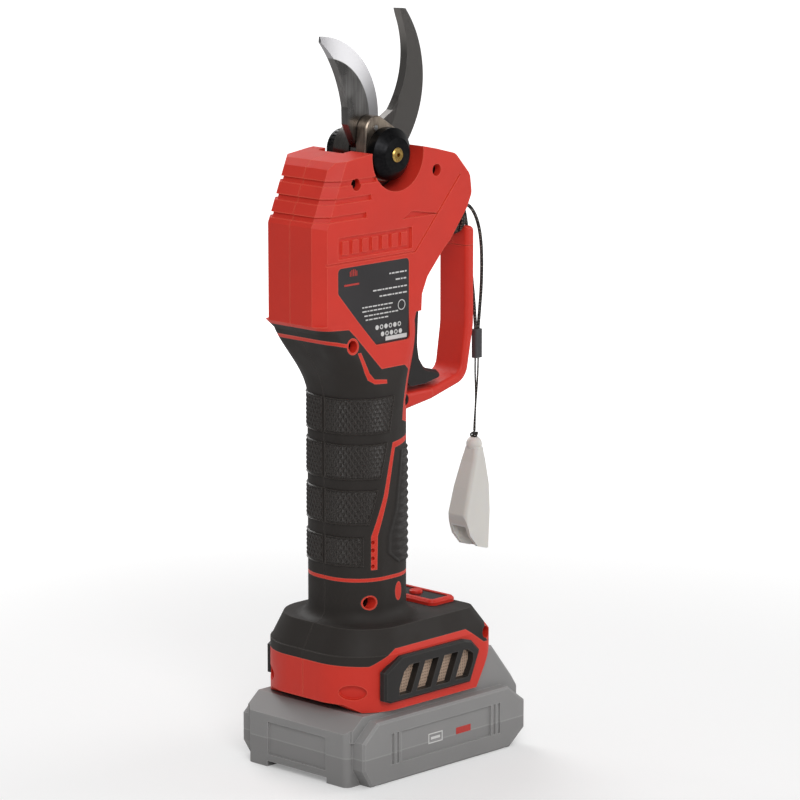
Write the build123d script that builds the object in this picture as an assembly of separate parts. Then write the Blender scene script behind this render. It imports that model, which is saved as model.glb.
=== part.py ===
from build123d import *
import os
from math import atan2, cos, degrees, hypot, pi, radians, sin, tan

# Battery pruning shears. Millimetres, +Z up from the battery's underside, the tool's
# long axis on Z, the trigger and its guard towards +X, the labelled side towards -Y.

# ---- walls, layers and clearances ----
shell_wall = 2.2
grip_layer = 2.0
core_depth = grip_layer + shell_wall
seam_gap = 0.2
running_gap = 0.05
moving_gap = 0.3
panel_gap = 0.1

# ---- handle and neck ----
handle_half_x = 20.3
handle_half_y = 20.5
handle_corner = 17.5
ring_z = 86.0
ring_height = 1.6
neck_z = 161.0
head_bottom_z = 201.0

# ---- head ----
head_half_y = 18.0
spine_x = -40.5
spine_chamfer = 4.8
notch_radius = 15.8
rib_depth = 0.8

# ---- blades and their pivot ----
pivot_x = 7.4
pivot_z = 270.7
blade_thickness = 4.0
blade_plane_y = -0.2
pivot_bolt_radius = 5.0
hub_radius = 12.2
close_angle = 46.0
edge_radius = 36.6
edge_centre_x = -24.0
edge_centre_z = 286.0
bevel_width = 9.0
guide_thickness = 5.5
frame_thickness = 5.5
cap_radius = 11.4
cap_flat_radius = 7.4
cap_height = 7.7
cap_chamfer_depth = 3.4
ear_x = 2.3
ear_z = 281.0
guide_pin_x = 1.5
guide_pin_z = 282.3
washer_thickness = 1.0
nut_thickness = 6.5
nipple_radius = 3.2

# ---- drive ----
nut_travel = 18.0
pin_rest_z = 232.7
drive_pin_radius = 2.5
nut_radius = 9.0
screw_radius = 4.0
screw_lead = 6.0
nut_body_height = 14.0
nut_bottom_z = 192.0
fork_floor_z = 214.0
screw_top_z = 223.5
tail_wall = 4.3
fork_wall = 3.1
lug_radius = 4.7
motor_radius = 15.0
motor_bottom_z = 104.0
motor_top_z = 157.0
gearbox_radius = 12.6
gearbox_top_z = 184.0
bearing_height = 5.0

# ---- base ----
base_back_x = -34.0
base_front_x = 52.0
base_half_y = 35.0
base_corner = 25.0
base_bottom_z = 31.0
shoulder_low_z = 56.0
shoulder_top_z = 66.8
foot_radius = 5.6
vent_proud = 2.2
vent_frame_depth = 1.2
recess_z = 40.0
recess_turn = 142.0
display_top_z = 69.2
button_x = 37.4
button_radius = 3.0
board_z = 44.0
rail_back_x = -12.0
rail_lip = 2.4

# ---- battery ----
battery_back_x = -38.0
battery_front_x = 68.8
battery_half_y = 38.0
battery_side_z = 28.0
battery_deck_z = base_bottom_z - moving_gap
battery_split_z = 13.0
cell_radius = 9.2
cell_length = 65.0
cell_count = 5
cell_pitch = 19.4
cell_z = 12.4
board_bay_z = 23.9
release_back_x = 52.0
release_half_y = 11.0
release_low_z = 31.0
release_high_z = 38.5
release_travel = 3.0
rail_half_y = 10.0
rail_lip_z = base_bottom_z + core_depth + moving_gap
rail_top_z = rail_lip_z + 2.6
blade_low_z = rail_lip_z + 0.4
contact_places = (-6.0, 0.0, 6.0)

# ---- trigger and guard ----
trigger_half_y = 6.4
trigger_pin_x = 24.0
trigger_pin_z = 219.4
trigger_pin_radius = 1.6
guard_half_y = 8.5
wrap_back_x = 50.2
wrap_end_x = 59.6
guard_top_z = 232.6
guard_seam_z = 224.0
guard_seam_x = 39.2
bar_radius = 4.4
bar_z = 235.0

# ---- lanyard ----
cord_diameter = 1.5
string_diameter = 0.8
wrap_thickness = 2.4
slider_size = (4.6, 3.0, 13.0)
cover_wall = 1.6

# ---- screws: place on X and Z, depth of the head under the skin, length ----
boss_x = -21.3
boss_z = 190.8
boss_radius = 3.6
nose_screw_x = 47.8
nose_screw_z = 55.0
screw_head_radius = 2.7
screw_head_height = 2.2
screw_shank_radius = 1.5
post_radius = 3.6

far = 120.0
body_y = 60.0


# ---------------------------------------------------------------- helpers
def slab(shape, y_low, y_high):
    """A shape drawn in X and Z, extruded between two Y values."""
    return extrude(Plane.XZ.offset(-y_high) * shape, amount=y_high - y_low)


def outline(*points):
    return make_face(Polyline(*points, close=True))


def block(x_low, x_high, y_low, y_high, z_low, z_high):
    centre = Pos((x_low + x_high) / 2, (y_low + y_high) / 2, (z_low + z_high) / 2)
    return centre * Box(x_high - x_low, y_high - y_low, z_high - z_low)


def rod_y(x, z, radius, y_low, y_high):
    return slab(Pos(x, z) * Circle(radius), y_low, y_high)


def rod_z(x, y, radius, z_low, z_high):
    return extrude(Pos(x, y, z_low) * Circle(radius), amount=z_high - z_low)


def rod_x(y, z, radius, x_low, x_high):
    return extrude(Plane(origin=(x_low, y, z), z_dir=(1, 0, 0)) * Circle(radius), amount=x_high - x_low)


def round_corners(face, *corners):
    """Fillets the corners of a face that lie nearest the given (x, y, radius) places."""
    for x, y, radius in corners:
        nearest = sorted(face.vertices(), key=lambda v: hypot(v.X - x, v.Y - y))[0]
        face = fillet(nearest, radius)
    return face


def rounded_section(x_low, x_high, half_y, radius, z, inset):
    plan = RectangleRounded(x_high - x_low - 2 * inset, 2 * (half_y - inset), radius - inset)
    return Pos((x_low + x_high) / 2, 0, z) * plan


def near_side(shape, gap=seam_gap / 2):
    return shape & block(-far, far, -body_y, -gap, -10, 4 * far)


def far_side(shape, gap=seam_gap / 2):
    return shape & block(-far, far, gap, body_y, -10, 4 * far)


def save(node, shape):
    export_step(shape, f"parts/{node}.step")


# ---------------------------------------------------------------- outer form
def head_outline(inset):
    corners = outline(
        (spine_x, head_bottom_z - 8), (spine_x, 243.5), (-30.5, 267.5), (-27.5, 270.4),
        (-11.6, 272.4), (pivot_x, 274.0), (17.7, 274.2), (31.3, 271.2), (43.5, 268.0),
        (52.8, 257.9), (53.9, 249.5), (50.9, 243.4), (40.4, 230.4), (36.3, 226.9),
        (25.8, 215.7), (22.4, 208.2), (21.6, head_bottom_z - 8),
    )
    rounded = round_corners(corners, (43.5, 268.0, 6.0), (52.8, 257.9, 6.0), (53.9, 249.5, 5.0),
                            (36.3, 226.9, 8.0), (25.8, 215.7, 8.0))
    drawn_in = offset(rounded, amount=-inset) if inset else rounded
    return drawn_in - Pos(pivot_x, pivot_z) * Circle(notch_radius + inset)


def head_form(inset=0.0):
    form = slab(head_outline(inset), -head_half_y + inset, head_half_y - inset)
    form &= block(-far, far, -body_y, body_y, head_bottom_z - 0.01, 4 * far)
    sides = form.edges().filter_by(lambda e: abs(abs(e.center().Y) - head_half_y + inset) < 0.1)
    spine = sides.filter_by(lambda e: e.center().X < -28 and e.length > 8)
    return chamfer(spine, spine_chamfer)


def neck_form(inset=0.0):
    sections = (
        (neck_z, -handle_half_x, handle_half_x, handle_half_y, handle_corner),
        (171.0, -21.4, 20.7, 20.4, 16.0),
        (180.0, -25.4, 21.2, 19.8, 12.0),
        (197.0, -36.4, 21.6, 18.3, 7.0),
        (head_bottom_z, spine_x, 21.9, head_half_y, 5.0),
    )
    faces = [rounded_section(x0, x1, half, radius, z, inset) for z, x0, x1, half, radius in sections]
    lower = loft(faces[:4])
    upper = loft(faces[3:], ruled=True)
    return lower + upper


def handle_form(inset=0.0):
    bottom_z = shoulder_top_z - 1 - inset
    section = rounded_section(-handle_half_x, handle_half_x, handle_half_y, handle_corner, bottom_z, inset)
    return extrude(section, amount=neck_z - bottom_z)


def base_plan(z, inset, back, front, side, corner, nose):
    plan = Pos((back + front) / 2, 0) * Rectangle(front - back - 2 * inset, 2 * (side - inset))
    plan = round_corners(plan, (back, -side, corner - inset), (back, side, corner - inset),
                         (front, -side, nose - inset), (front, side, nose - inset))
    return Pos(0, 0, z) * plan


def base_form(inset=0.0):
    wall = extrude(base_plan(20, inset, base_back_x, base_front_x, base_half_y, base_corner, 7.0),
                   amount=shoulder_low_z - 20)
    shoulder = loft([
        base_plan(shoulder_low_z, inset, base_back_x + 0.6, base_front_x, base_half_y, base_corner, 7.0),
        base_plan(shoulder_top_z - inset, inset, base_back_x + 6.8, base_front_x - 7, base_half_y - 4,
                  base_corner - 4, 7.0),
    ], ruled=True)
    side_view = outline(
        (-far, 34.5), (-31, 34.5), (-26, base_bottom_z), (39.8, base_bottom_z), (49.2, 47.6),
        (far, 48.6), (far, far), (-far, far),
    )
    form = (wall + shoulder) & slab(side_view, -body_y, body_y)
    form += handle_form(inset)
    if inset:
        return form
    rim = form.edges().filter_by(lambda e: abs(e.center().Z - shoulder_top_z) < 0.2)
    neck_foot = rim.filter_by(lambda e: abs((e @ 0.5).X) < handle_half_x + 0.5
                              and abs((e @ 0.5).Y) < handle_half_y + 0.5)
    return fillet(neck_foot, foot_radius)


def body_form(inset=0.0):
    return head_form(inset) + neck_form(inset) + base_form(inset)


# ---------------------------------------------------------------- colour zones and shells
def accent_stripe():
    return outline((24, 149.0), (1.4, 145.8), (-4.1, 122.8), (-10.3, 105.3), (-10.4, 90.4),
                   (-7.6, 90.4), (-7.3, 105.4), (-1.6, 122.4), (2.8, 143.4), (24, 146.8))


def boss_stripe():
    return outline((-18.6, 187.5), (-15.0, 178.7), (-12.9, 175.0), (-9.2, 172.9), (-1.9, 172.3),
                   (-1.9, 174.0), (-9.4, 175.0), (-12.4, 178.2), (-16.6, 187.5))


def neck_stripe():
    return outline((-45, 196.4), (-30, 193.6), (-22, 191.6), (-22, 190.0), (-30, 192.0), (-45, 194.8))


def grip_zone():
    """Everything under the soft grip, seen from the side."""
    zone = outline((-45, 199.8), (-23.0, 198.2), (-19.0, 194.4), (-4.8, 179.0), (9.5, 179.0),
                   (12.6, 176.6), (9.0, 159.5), (8.3, 154.6), (24, 149.0), (24, ring_z + ring_height / 2),
                   (-45, ring_z + ring_height / 2))
    zone -= accent_stripe() + boss_stripe() + neck_stripe()
    zone -= Pos(boss_x, boss_z) * Circle(boss_radius)
    return zone


def base_cover_zone():
    zone = outline((-45, ring_z - ring_height / 2), (60, ring_z - ring_height / 2), (60, 50.4),
                   (44.4, 51.1), (33.5, 58.5), (-11, 58.2), (-23.5, 51.6), (-45, 52.0))
    zone -= Pos(-10.9, 75.8) * Circle(3.3)
    zone -= Pos(5.1, 78.8) * Ellipse(2.2, 4.2)
    zone -= Pos(nose_screw_x, nose_screw_z) * Ellipse(2.2, 4.0)
    return zone


SCREWS = (
    # x, z, y of the head's outer face, y of the tip, y where the near post ends
    (31.5, 261.8, -14.5, 13.5, -seam_gap / 2),
    (-17.9, 260.4, -14.5, 13.5, -5.0),
    (boss_x, boss_z, -14.5, 13.5, -seam_gap / 2),
    (14.4, 162.0, -15.0, 14.5, -7.6),
    (-10.9, 75.8, -14.5, 13.5, -seam_gap / 2),
    (nose_screw_x - 1.5, nose_screw_z, -8.0, 12.0, -seam_gap / 2),
)


def screw_posts(side):
    """Posts inside one shell; side is -1 for the near shell and +1 for the far one."""
    posts = None
    for x, z, head_y, tip_y, near_end in SCREWS:
        inner_end = near_end if side < 0 else max(-near_end - 4.4, seam_gap / 2)
        if near_end == -7.6 and side > 0:
            inner_end = 7.6
        low, high = sorted((side * 34.0, inner_end))
        radius = 2.8 if near_end == -7.6 else post_radius
        post = rod_y(x, z, radius, low, high)
        posts = post if posts is None else posts + post
    return posts


def screw_cuts():
    cuts = None
    for x, z, head_y, tip_y, near_end in SCREWS:
        bore = rod_y(x, z, screw_shank_radius, head_y, tip_y)
        recess = rod_y(x, z, screw_head_radius, -body_y, head_y + screw_head_height)
        cuts = bore + recess if cuts is None else cuts + bore + recess
    return cuts


def housing_screws():
    screws = []
    for x, z, head_y, tip_y, near_end in SCREWS:
        head = rod_y(x, z, screw_head_radius, head_y, head_y + screw_head_height)
        socket = slab(Pos(x, z) * RegularPolygon(1.3, 6), head_y, head_y + 1.2)
        shank = rod_y(x, z, screw_shank_radius, head_y + screw_head_height - 0.1, tip_y)
        screws.append(head + shank - socket)
    return Compound(children=screws)


# ---------------------------------------------------------------- guard
def guard_band():
    outer = outline((12, 150.0), (23.5, 155.6), (39, 157.9), (61.5, 163.9), (66.2, 188), (66.2, guard_top_z),
                    (12, guard_top_z))
    inner = outline((11, 162.6), (39, 162.8), (57.8, 167.6), (60.9, 188), (60.9, guard_top_z + 1),
                    (11, guard_top_z + 1))
    outer = round_corners(outer, (61.5, 163.9, 9.0), (66.2, 188, 30.0), (66.2, guard_top_z, 2.5))
    inner = round_corners(inner, (57.8, 167.6, 6.0), (60.9, 188, 26.0))
    band = slab(outer - inner, -guard_half_y, guard_half_y)
    rims = band.edges().filter_by(lambda e: abs(abs(e.center().Y) - guard_half_y) < 0.01 and e.center().X > 12.5)
    return fillet(rims, 1.6)


def guard_tenons(grow=0.0):
    top = block(62.3 - grow, 64.9 + grow, -5 - grow, 5 + grow, guard_seam_z - 2, guard_seam_z + 3.6)
    low = block(guard_seam_x - 5, guard_seam_x + 2, -5 - grow, 5 + grow, 159.2 - grow, 161.6 + grow)
    return top + low


def guard_u_zone(gap):
    return block(guard_seam_x + gap, 80, -20, 20, 140, guard_seam_z - gap)


def trigger_guard(band):
    return (band & guard_u_zone(seam_gap / 2)) + guard_tenons()


def guard_stubs(band):
    stubs = band - guard_u_zone(-seam_gap / 2) - wrap_form()
    return stubs + bar_form() - guard_tenons()


def bar_form():
    """The bar from the head to the guard's post, with its rounded end and the neck down to the post."""
    neck = block(60.95, wrap_end_x + bar_radius, -3.4, 3.4, guard_seam_z + seam_gap / 2, bar_z)
    return rod_x(0, bar_z, bar_radius, 42, wrap_end_x) + Pos(wrap_end_x, 0, bar_z) * Sphere(bar_radius) + neck


def wrap_form():
    radius = bar_radius + wrap_thickness
    return rod_x(0, bar_z, radius, wrap_back_x, wrap_end_x) + Pos(wrap_end_x, 0, bar_z) * Sphere(radius)


# ---------------------------------------------------------------- shells and overmould
def blade_slot():
    """The gap between the two shells through which the blades and their frame pass."""
    low, high = -5.0, blade_plane_y + 4.3 + frame_thickness + 0.9
    ring = rod_y(pivot_x, pivot_z, notch_radius + core_depth + 0.7, low, high)
    hook_way = slab(outline((pivot_x, 258), (27.3, 258), (27.3, 265), (36.5, 266.5), (36.5, 290), (-12, 290)),
                    low, high)
    return ring + hook_way


def trigger_slot():
    half = trigger_half_y + 0.5
    return block(14.5, 30.6, -half, half, 163.2, 224.5)


def back_ribs(outer):
    ribs = None
    reach = outer - head_form(rib_depth)
    for index in range(3):
        low = 245.6 + index * 7.4
        groove = reach & block(-60, -12 + index * 3, -body_y, body_y, low, low + 2.4)
        ribs = groove if ribs is None else ribs + groove
    return ribs


def side_details():
    """Recessed panel with plain bars, the long groove and the shallow facet on the broad side."""
    y_skin = -head_half_y
    panel = slab(outline((-29.2, 229.2), (16.0, 229.2), (16.0, 238.6), (-29.2, 238.6)), y_skin - 1, y_skin + 0.8)
    bars = None
    for index in range(7):
        x = -26.6 + index * 6.0
        bar = slab(outline((x, 231.0), (x + 3.6, 231.0), (x + 3.6, 236.8), (x, 236.8)), y_skin - 1, y_skin + 0.8)
        bars = bar if bars is None else bars + bar
    groove = slab(outline((-45, 227.0), (18.2, 227.0), (46.8, 258.4), (46.1, 259.0), (17.8, 227.8), (-45, 227.8)),
                  y_skin - 1, y_skin + 0.5)
    facet = Plane(origin=(22, y_skin - 0.2, 242.6), z_dir=(0.02, -1, -0.1)) * Rectangle(60, 60)
    facet = extrude(facet, amount=-3) & slab(outline((10.4, 242.6), (16.0, 245.6), (33.6, 242.6)), y_skin - 1,
                                             y_skin + 1)
    return panel - bars + groove + facet


def corner_recess():
    """The oval hole in the band, on the rounded corner, and its mirror image on the far side."""
    cuts = None
    for side in (-1, 1):
        facing = Vector(cos(radians(recess_turn)), side * sin(radians(recess_turn)), 0)
        centre = Vector(base_back_x + base_corner, side * (base_half_y - base_corner), recess_z)
        face = Plane(origin=centre + facing * (base_corner - 2.6), x_dir=(0, 0, 1), z_dir=facing)
        hole = extrude(face * Rot(0, 0, 90) * Ellipse(6.2, 3.3), amount=8)
        cuts = hole if cuts is None else cuts + hole
    return cuts


def stripe_holes():
    cuts = None
    for side in (-1, 1):
        for index in range(4):
            z = 92.0 + index * 3.57
            start = Plane(origin=(-9.1, side * 17.6, z), z_dir=(-0.3, side * 0.95, 0))
            hole = extrude(start * Circle(0.95), amount=8)
            cuts = hole if cuts is None else cuts + hole
    return cuts


def vent_outline():
    return outline((-20.2, 49.2), (-10.0, 55.1), (29.9, 55.1), (34.9, 53.7), (40.2, 48.5), (34.2, 34.9),
                   (-16.2, 34.9), (-20.2, 36.4))


def vent_window():
    return outline((-11.6, 37.8), (-11.6, 45.5), (-5.4, 50.4), (31.6, 50.4), (35.4, 47.8), (35.4, 43.7), (31.9, 37.8))


def vent_grille():
    plate = slab(vent_outline(), -base_half_y - vent_proud, -base_half_y + vent_frame_depth)
    front = plate.edges().filter_by(lambda e: abs(e.center().Y + base_half_y + vent_proud) < 0.01)
    plate = chamfer(front, 1.0)
    for index in range(4):
        x = -13.4 + index * 12.2
        slot = outline((x, 37), (x + 8.8, 37), (x + 15.0, 51.2), (x + 6.2, 51.2)) & vent_window()
        plate -= slab(slot, -base_half_y - 5, -base_half_y + 5)
    return plate


def vent_mesh():
    y = -base_half_y + vent_frame_depth
    return slab(offset(vent_window(), amount=1.5), y, y + 0.8)


def vent_cut():
    pocket = slab(vent_outline(), -base_half_y - 5, -base_half_y + vent_frame_depth)
    window = slab(offset(vent_window(), amount=1.5), -base_half_y - 5, -base_half_y + core_depth + 2)
    return pocket + window


def label_outline():
    face = outline((-29.4, 225.3), (14.2, 225.3), (14.2, 189.6), (-7.0, 189.6), (-29.4, 214.4))
    return fillet(face.vertices(), 2.0)


def rating_label():
    return slab(label_outline(), -head_half_y + 0.1, -head_half_y + 0.5)


def label_pocket():
    return slab(label_outline(), -body_y, -head_half_y + 0.5)


def bezel_pocket():
    return extrude(Pos(37, 0, shoulder_top_z - grip_layer) * RectangleRounded(16, 36, 3), amount=20)


def shell_forms():
    outer = body_form(0.0)
    middle = body_form(grip_layer)
    core = body_form(core_depth)
    grip_slab = slab(grip_zone(), -body_y, body_y)
    cover_slab = slab(base_cover_zone(), -body_y, body_y)
    skin = outer - middle
    red = outer - grip_slab - cover_slab + middle - core
    return outer, middle, core, red, skin & grip_slab, skin & cover_slab


def pin_boss(side):
    inner = trigger_half_y + 0.5 if side < 0 else 11.2
    low, high = sorted((side * inner, side * 16.0))
    return rod_y(trigger_pin_x, trigger_pin_z, 4.0, low, high)


def switch_rib(side):
    low, high = sorted((side * 5.0, side * 16.5))
    return block(11.8, 15.8, low, high, 202.5, 207.0)


def motor_ribs(side):
    ribs = None
    for z in (motor_bottom_z + 3, motor_top_z - 7):
        plate = block(-17, 17, min(0, side * 18), max(0, side * 18), z, z + 3)
        ribs = plate if ribs is None else ribs + plate
    return ribs - rod_z(0, 0, motor_radius, 0, 300)


def spring_recess():
    return rod_y(trigger_pin_x, trigger_pin_z, 4.3, 0, 11.5)


def housing(side, middle, core, red, stubs):
    inside = screw_posts(side) + pin_boss(side) + switch_rib(side) + motor_ribs(side)
    shell = red + (inside & middle) + (stubs - core) - spring_recess()
    shell -= blade_slot() + trigger_slot() + screw_cuts() + fork_way()
    shell -= rod_y(trigger_pin_x, trigger_pin_z, trigger_pin_radius, -13, 13)
    shell -= bezel_pocket() + button_well() + rail_way() + corner_recess() + stripe_holes()
    near = near_side(shell) if side < 0 else mirror(far_side(shell), Plane.XZ)
    near -= vent_cut() + side_details()
    if side < 0:
        return near - label_pocket()
    return mirror(near, Plane.XZ)


# ---------------------------------------------------------------- display
def button_well():
    return rod_z(button_x, 0, button_radius + moving_gap, shoulder_top_z - grip_layer - 1.4, 90)


def display_bezel():
    low = shoulder_top_z - grip_layer
    body = extrude(Pos(37, 0, low) * RectangleRounded(16, 36, 3), amount=display_top_z - low)
    body = chamfer(body.faces().sort_by(Axis.Z)[-1].edges(), 1.0)
    window = extrude(Pos(37, 0, display_top_z - 1.4) * RectangleRounded(11, 31, 1.5), amount=5)
    return body - window - button_well()


def display_panel():
    plate = extrude(Pos(37, 0, display_top_z - 1.4) * RectangleRounded(11, 31, 1.5), amount=1.0)
    return plate - button_well()


def power_button():
    low = shoulder_top_z - grip_layer + 0.2
    button = rod_z(button_x, 0, button_radius, low, display_top_z + 0.9)
    return fillet(button.faces().sort_by(Axis.Z)[-1].edges(), 0.8)


# ---------------------------------------------------------------- blades and pivot
def slot_point(angle_deg):
    """Where the drive pin stands in the moving blade's own frame, from the pivot."""
    angle = radians(angle_deg)
    x = -pivot_x
    z = pin_rest_z - pivot_z + nut_travel * angle_deg / close_angle
    return x * cos(angle) - z * sin(angle), x * sin(angle) + z * cos(angle)


def tail_slot(radius, steps=16):
    """The path of the pin through the tail, as short overlapping slots."""
    points = [slot_point(close_angle * (i / steps)) for i in range(steps + 1)]
    shape = None
    for (x0, z0), (x1, z1) in zip(points, points[1:]):
        run = hypot(x1 - x0, z1 - z0)
        turn = degrees(atan2(z1 - z0, x1 - x0))
        link = Pos((x0 + x1) / 2, (z0 + z1) / 2) * Rot(0, 0, turn) * SlotCenterToCenter(run, 2 * radius)
        shape = link if shape is None else shape + link
    return Pos(pivot_x, pivot_z) * shape


def moving_blade():
    near, back = blade_plane_y - blade_thickness, blade_plane_y
    tip = (-22.6, 322.6)
    edge = ThreePointArc((12.5, 284.0), (edge_centre_x + edge_radius * cos(radians(45)),
                         edge_centre_z + edge_radius * sin(radians(45))), tip)
    spine = ThreePointArc((-22.9, 320.2), (-14.2, 306.6), (-9.4, 291.5))
    rim = Curve() + [edge, Line(tip, (-22.9, 320.2)), spine,
                     Polyline((-9.4, 291.5), (-9.2, 284.0), (-3.0, 272.0), (11.5, 274.0), (12.5, 284.0))]
    wing = slab(make_face(rim), near, back)
    ground = Plane(origin=(edge_centre_x, back - 0.5, edge_centre_z), z_dir=(0, -1, 0))
    cone = ground * Pos(0, 0, (blade_thickness - 0.5) / 2) * Cone(edge_radius + 0.6, edge_radius - bevel_width,
                                                                blade_thickness - 0.5)
    rest = rod_y(edge_centre_x, edge_centre_z, edge_radius + 5, back - 0.5, back)
    root = rod_y(pivot_x, pivot_z, hub_radius + 0.8, near, back)
    wing = wing & (cone + rest + root)
    hub = Pos(pivot_x, pivot_z) * Circle(hub_radius - 0.7)
    x_end, z_end = slot_point(close_angle)
    arm = make_hull((hub + Pos(pivot_x + x_end, pivot_z + z_end) * Circle(tail_wall + drive_pin_radius)).edges())
    tail = slab(arm + tail_slot(tail_wall + drive_pin_radius), near, back)
    blade = wing + tail
    blade -= slab(tail_slot(drive_pin_radius + running_gap), near - 1, back + 1)
    return blade - rod_y(pivot_x, pivot_z, pivot_bolt_radius + running_gap, near - 1, back + 1)


def fixed_plane():
    return blade_plane_y + moving_gap


def hook_outline():
    inner = ThreePointArc((28.4, 327.4), (31.3, 306.5), (22.8, 287.1))
    outer = ThreePointArc((32.6, 330.6), (43.5, 303.0), (34.6, 273.4))
    rim = Curve() + [inner, Polyline((22.8, 287.1), (18.0, 284.4), (12.0, 281.5), (9.0, 268), (27.0, 264.0),
                                     (34.6, 273.4)), outer,
                     Polyline((32.6, 330.6), (27.2, 331.1), (28.4, 327.4))]
    return make_face(rim)


def tang_outline():
    return outline((12.4, 262), (27.0, 266), (27.3, 257), (30.5, 251.0), (24.0, 240.0), (12.4, 240.0))


def fixed_blade():
    low = fixed_plane()
    hook = slab(hook_outline(), low, low + blade_thickness)
    tang = slab(tang_outline(), low, low + blade_thickness)
    hub = rod_y(pivot_x, pivot_z, hub_radius, low, low + blade_thickness)
    outer_rim = hook.edges().filter_by(lambda e: abs(e.center().Y - low) < 0.01 and e.length > 30
                                       and e.center().X > 36)
    hook = chamfer(outer_rim, 1.8)
    blade = hook + tang + hub - frame_screw_form()
    return blade - rod_y(pivot_x, pivot_z, pivot_bolt_radius, low - 1, low + 6)


def frame_screw_form():
    low = fixed_plane()
    form = None
    for x, z in ((17.5, 245.5), (24.0, 249.5)):
        screw = rod_y(x, z, 2.0, low + 0.4, low + blade_thickness + frame_thickness)
        screw += rod_y(x, z, 3.4, low + 0.4, low + 1.9)
        form = screw if form is None else form + screw
    return form


def head_frame():
    low = fixed_plane() + blade_thickness
    plate = outline((-2.0, 266), (27.0, 266), (27.3, 257), (33.0, 250.0), (24.0, 236), (12.0, 229.5),
                    (-12.0, 229.5), (-13.5, 243.0), (-8.0, 256.0))
    form = slab(plate + Pos(pivot_x, pivot_z) * Circle(hub_radius), low, low + frame_thickness)
    form -= rod_y(pivot_x, pivot_z, pivot_bolt_radius, low - 1, low + 8)
    return form - frame_screw_form()


def frame_rest():
    """Pads of the far shell that the head frame lies against."""
    low = fixed_plane() + blade_thickness + frame_thickness
    return rod_y(-4.0, 236.0, 3.0, low, 16) + rod_y(26.0, 246.0, 3.0, low, 16)


def guide_plate():
    high = blade_plane_y - blade_thickness - moving_gap
    face = make_hull((Pos(pivot_x, pivot_z) * Circle(12.4) + Pos(ear_x, ear_z) * Circle(6.4)).edges())
    plate = slab(face, high - guide_thickness, high)
    rims = plate.edges().filter_by(lambda e: abs(e.center().Y - high + guide_thickness) < 0.01)
    plate = chamfer(rims, 0.5)
    plate -= rod_y(pivot_x, pivot_z, pivot_bolt_radius, -30, 0)
    return plate - guide_pin()


def guide_pin():
    high = blade_plane_y - blade_thickness - moving_gap
    return rod_y(guide_pin_x, guide_pin_z, 1.2, high - guide_thickness - 0.6, high - 1.5)


def cap_back():
    return blade_plane_y - blade_thickness - moving_gap - guide_thickness


def pivot_cap():
    back = cap_back()
    front = back - cap_height
    rim = rod_y(pivot_x, pivot_z, cap_radius, front, back)
    front_edge = rim.faces().sort_by(Axis.Y)[0].edges()
    face = rim.faces().sort_by(Axis.Y)[0]
    rim = chamfer(front_edge, cap_chamfer_depth, cap_radius - cap_flat_radius, reference=rim.faces().filter_by(
        GeomType.CYLINDER)[0])
    rim -= rod_y(pivot_x, pivot_z, 8.0, back - 3.0, back + 1)
    return rim - rod_y(pivot_x, pivot_z, nipple_radius, front - 1, back)


def grease_nipple():
    front = cap_back() - cap_height
    body = rod_y(pivot_x, pivot_z, nipple_radius, front - 0.6, cap_back() - 3.0)
    body = chamfer(body.faces().sort_by(Axis.Y)[0].edges(), 0.5)
    return body - rod_y(pivot_x, pivot_z, 0.9, front - 2, front + 1.5)


def nut_face():
    return fixed_plane() + blade_thickness + frame_thickness + washer_thickness


def pivot_bolt():
    back = cap_back()
    head = rod_y(pivot_x, pivot_z, 8.0, back - 3.0, back)
    return head + rod_y(pivot_x, pivot_z, pivot_bolt_radius, back - 0.5, nut_face() + nut_thickness - 1.5)


def lock_washer():
    face = nut_face()
    ring = rod_y(pivot_x, pivot_z, 9.0, face - washer_thickness, face)
    return ring - rod_y(pivot_x, pivot_z, pivot_bolt_radius, 0, 30)


def pivot_nut():
    face = nut_face()
    body = rod_y(pivot_x, pivot_z, 8.4, face, face + nut_thickness)
    for index in range(24):
        turn = 2 * pi * index / 24
        body -= rod_y(pivot_x + 8.6 * cos(turn), pivot_z + 8.6 * sin(turn), 0.55, face + 1, face + nut_thickness - 1)
    return body - rod_y(pivot_x, pivot_z, pivot_bolt_radius, 0, face + nut_thickness - 1.5)


# ---------------------------------------------------------------- drive
def lug_outline(pin_z, radius):
    """The fork's side view: as wide as the nut below, a round lug about the pin on top."""
    shoulder = fork_floor_z + 2
    body = outline((-nut_radius, nut_bottom_z), (nut_radius, nut_bottom_z), (nut_radius, shoulder),
                   (radius, shoulder + 6), (radius, pin_z), (-radius, pin_z), (-radius, shoulder + 6),
                   (-nut_radius, shoulder))
    return body + Pos(0, pin_z) * Circle(radius)


def fork_way():
    """Room in the wall under the pivot for the near cheek of the fork at the end of its travel."""
    near = blade_plane_y - blade_thickness - moving_gap
    return slab(lug_outline(pin_rest_z + nut_travel, lug_radius + moving_gap), near - fork_wall - moving_gap, near)


def drive_nut():
    near = blade_plane_y - blade_thickness - moving_gap
    far_face = blade_plane_y + moving_gap
    body = rod_z(0, 0, nut_radius, nut_bottom_z, nut_bottom_z + nut_body_height)
    fork = rod_z(0, 0, nut_radius - 0.4, nut_bottom_z + nut_body_height - 1, pin_rest_z + lug_radius)
    fork &= slab(lug_outline(pin_rest_z, lug_radius), near - fork_wall, far_face + fork_wall)
    fork -= block(-20, 20, near, far_face, fork_floor_z, 400)
    body += fork
    body -= rod_z(0, 0, screw_radius + running_gap, 0, nut_bottom_z + nut_body_height)
    body -= rod_z(0, 0, screw_radius + moving_gap, nut_bottom_z + 5, fork_floor_z + 20)
    return body - drive_pin()


def drive_pin():
    near = blade_plane_y - blade_thickness - moving_gap
    return rod_y(0, pin_rest_z, drive_pin_radius, near - fork_wall, blade_plane_y + moving_gap + fork_wall)


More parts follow.
